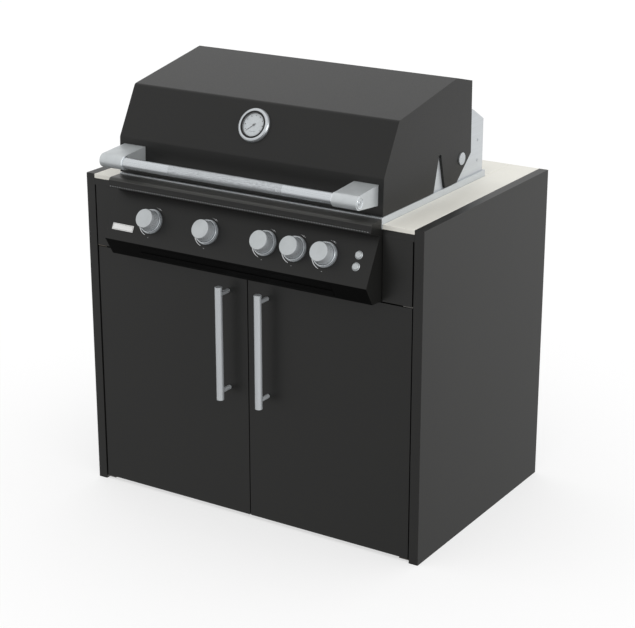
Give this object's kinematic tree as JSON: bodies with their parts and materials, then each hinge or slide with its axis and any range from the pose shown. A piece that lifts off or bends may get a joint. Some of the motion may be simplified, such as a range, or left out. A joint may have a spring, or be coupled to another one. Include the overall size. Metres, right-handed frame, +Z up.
{
  "type": "gas barbecue grill",
  "caption": "Gas barbecue with a hinged hood, cast grates and a knob panel, built into a cabinet with hinged doors and a stone worktop.",
  "frame": {"origin": "centre of the part's plan outline, lid handle included, on the floor under the cabinet", "axes": "+Z up, -Y towards the cook who stands at the doors, +X to that cook's right"},
  "size_m": [1.046, 0.796, 1.197],
  "materials": {
    "grey_laminate": "satin laminate over board",
    "stone_top": "honed",
    "dark_enamel": "satin baked enamel",
    "stainless": "brushed",
    "dark_steel": "plain",
    "satin_aluminium": "satin",
    "black_iron": "matt enamel",
    "brass_parts": "machined",
    "white_ceramic": "unglazed",
    "black_plastic": "matt",
    "gauge_glass": "clear"
  },
  "bodies": {
    "cabinet": {"side_panel_left": "grey_laminate", "side_panel_right": "grey_laminate", "base_panel": "grey_laminate", "back_panel": "grey_laminate", "sub_top_boards": "grey_laminate", "filler_panel_left": "grey_laminate", "filler_panel_right": "grey_laminate", "door_rail": "grey_laminate", "worktop_left": "stone_top", "worktop_right": "stone_top", "worktop_rear": "stone_top", "levelling_feet": "black_plastic", "door_pivots": "dark_steel", "magnetic_catches": "black_plastic", "firebox": "dark_steel", "rim_frame": "stainless", "control_panel": "dark_enamel", "heat_shield": "dark_steel", "gas_manifold": "brass_parts", "valve_bodies": "brass_parts", "knob_bezels": "stainless", "switch_block": "black_plastic", "badge_plate": "stainless", "tube_burners": "dark_steel", "ignition_electrodes": "white_ceramic", "flame_tamers": "dark_steel", "cooking_grates": "black_iron", "tray_runners": "stainless", "hood_cheeks": "stainless", "rear_housing": "stainless", "rear_burner": "white_ceramic", "rear_supply_pipe": "brass_parts", "warming_rack": "stainless", "lid_pivot_pins": "stainless", "housing_screws": "stainless"},
    "lid": {"lid_shell": "dark_enamel", "lid_liner": "stainless", "lid_handle_bar": "stainless", "lid_handle_brackets": "satin_aluminium", "thermometer_bezel": "stainless", "thermometer_dial": "stainless", "thermometer_glass": "gauge_glass"},
    "needle": {"thermometer_needle": "stainless"},
    "left_door": {"door_left": "grey_laminate", "door_handle_left": "stainless"},
    "right_door": {"door_right": "grey_laminate", "door_handle_right": "stainless"},
    "tray": {"drip_tray": "dark_steel"},
    "plunger_1": {"valve_plunger_1": "brass_parts"},
    "knob_1_body": {"knob_1": "satin_aluminium"},
    "plunger_2": {"valve_plunger_2": "brass_parts"},
    "knob_2_body": {"knob_2": "satin_aluminium"},
    "plunger_3": {"valve_plunger_3": "brass_parts"},
    "knob_3_body": {"knob_3": "satin_aluminium"},
    "plunger_4": {"valve_plunger_4": "brass_parts"},
    "knob_4_body": {"knob_4": "satin_aluminium"},
    "plunger_rear": {"valve_plunger_rear": "brass_parts"},
    "knob_rear_body": {"knob_rear": "satin_aluminium"},
    "ignition_button_body": {"ignition_button": "stainless"},
    "light_button_body": {"light_button": "stainless"}
  },
  "joints": [
    {"name": "lid_hinge", "type": "hinge", "parent": "cabinet", "child": "lid", "pos_m": [0, 0.1105, 0.978], "axis": [-1, 0, 0], "range_deg": [0, 90]},
    {"name": "needle_turn", "type": "hinge", "parent": "lid", "child": "needle", "pos_m": [0, -0.24977, 1.08721], "axis": [0, 0.876, -0.4823], "range_deg": [0, 264]},
    {"name": "left_door_hinge", "type": "hinge", "parent": "cabinet", "child": "left_door", "pos_m": [-0.48, -0.2825, 0.35], "axis": [0, 0, -1], "range_deg": [0, 105]},
    {"name": "right_door_hinge", "type": "hinge", "parent": "cabinet", "child": "right_door", "pos_m": [0.48, -0.2825, 0.35], "axis": [0, 0, 1], "range_deg": [0, 105]},
    {"name": "tray_slide", "type": "slide", "parent": "cabinet", "child": "tray", "axis": [0, -1, 0], "range_m": [0, 0.38]},
    {"name": "knob_1_push", "type": "slide", "parent": "cabinet", "child": "plunger_1", "axis": [0, 0.8788, -0.4772], "range_m": [0, 0.003], "stiffness_N_per_m": 2000, "springref_m": -0.003},
    {"name": "knob_1_turn", "type": "hinge", "parent": "plunger_1", "child": "knob_1_body", "pos_m": [-0.27, -0.33864, 0.81104], "axis": [0, -0.8788, 0.4772], "range_deg": [0, 180]},
    {"name": "knob_2_push", "type": "slide", "parent": "cabinet", "child": "plunger_2", "axis": [0, 0.8788, -0.4772], "range_m": [0, 0.003], "stiffness_N_per_m": 2000, "springref_m": -0.003},
    {"name": "knob_2_turn", "type": "hinge", "parent": "plunger_2", "child": "knob_2_body", "pos_m": [-0.09, -0.33864, 0.81104], "axis": [0, -0.8788, 0.4772], "range_deg": [0, 180]},
    {"name": "knob_3_push", "type": "slide", "parent": "cabinet", "child": "plunger_3", "axis": [0, 0.8788, -0.4772], "range_m": [0, 0.003], "stiffness_N_per_m": 2000, "springref_m": -0.003},
    {"name": "knob_3_turn", "type": "hinge", "parent": "plunger_3", "child": "knob_3_body", "pos_m": [0.09, -0.33864, 0.81104], "axis": [0, -0.8788, 0.4772], "range_deg": [0, 180]},
    {"name": "knob_4_push", "type": "slide", "parent": "cabinet", "child": "plunger_4", "axis": [0, 0.8788, -0.4772], "range_m": [0, 0.003], "stiffness_N_per_m": 2000, "springref_m": -0.003},
    {"name": "knob_4_turn", "type": "hinge", "parent": "plunger_4", "child": "knob_4_body", "pos_m": [0.27, -0.33864, 0.81104], "axis": [0, -0.8788, 0.4772], "range_deg": [0, 180]},
    {"name": "knob_rear_push", "type": "slide", "parent": "cabinet", "child": "plunger_rear", "axis": [0, 0.8788, -0.4772], "range_m": [0, 0.003], "stiffness_N_per_m": 2000, "springref_m": -0.003},
    {"name": "knob_rear_turn", "type": "hinge", "parent": "plunger_rear", "child": "knob_rear_body", "pos_m": [0.18, -0.33864, 0.81104], "axis": [0, -0.8788, 0.4772], "range_deg": [0, 180]},
    {"name": "ignition_button_push", "type": "slide", "parent": "cabinet", "child": "ignition_button_body", "axis": [0, 0.8788, -0.4772], "range_m": [0, 0.003], "stiffness_N_per_m": 1000, "springref_m": -0.003},
    {"name": "light_button_push", "type": "slide", "parent": "cabinet", "child": "light_button_body", "axis": [0, 0.8788, -0.4772], "range_m": [0, 0.003], "stiffness_N_per_m": 1000, "springref_m": -0.003}
  ]
}
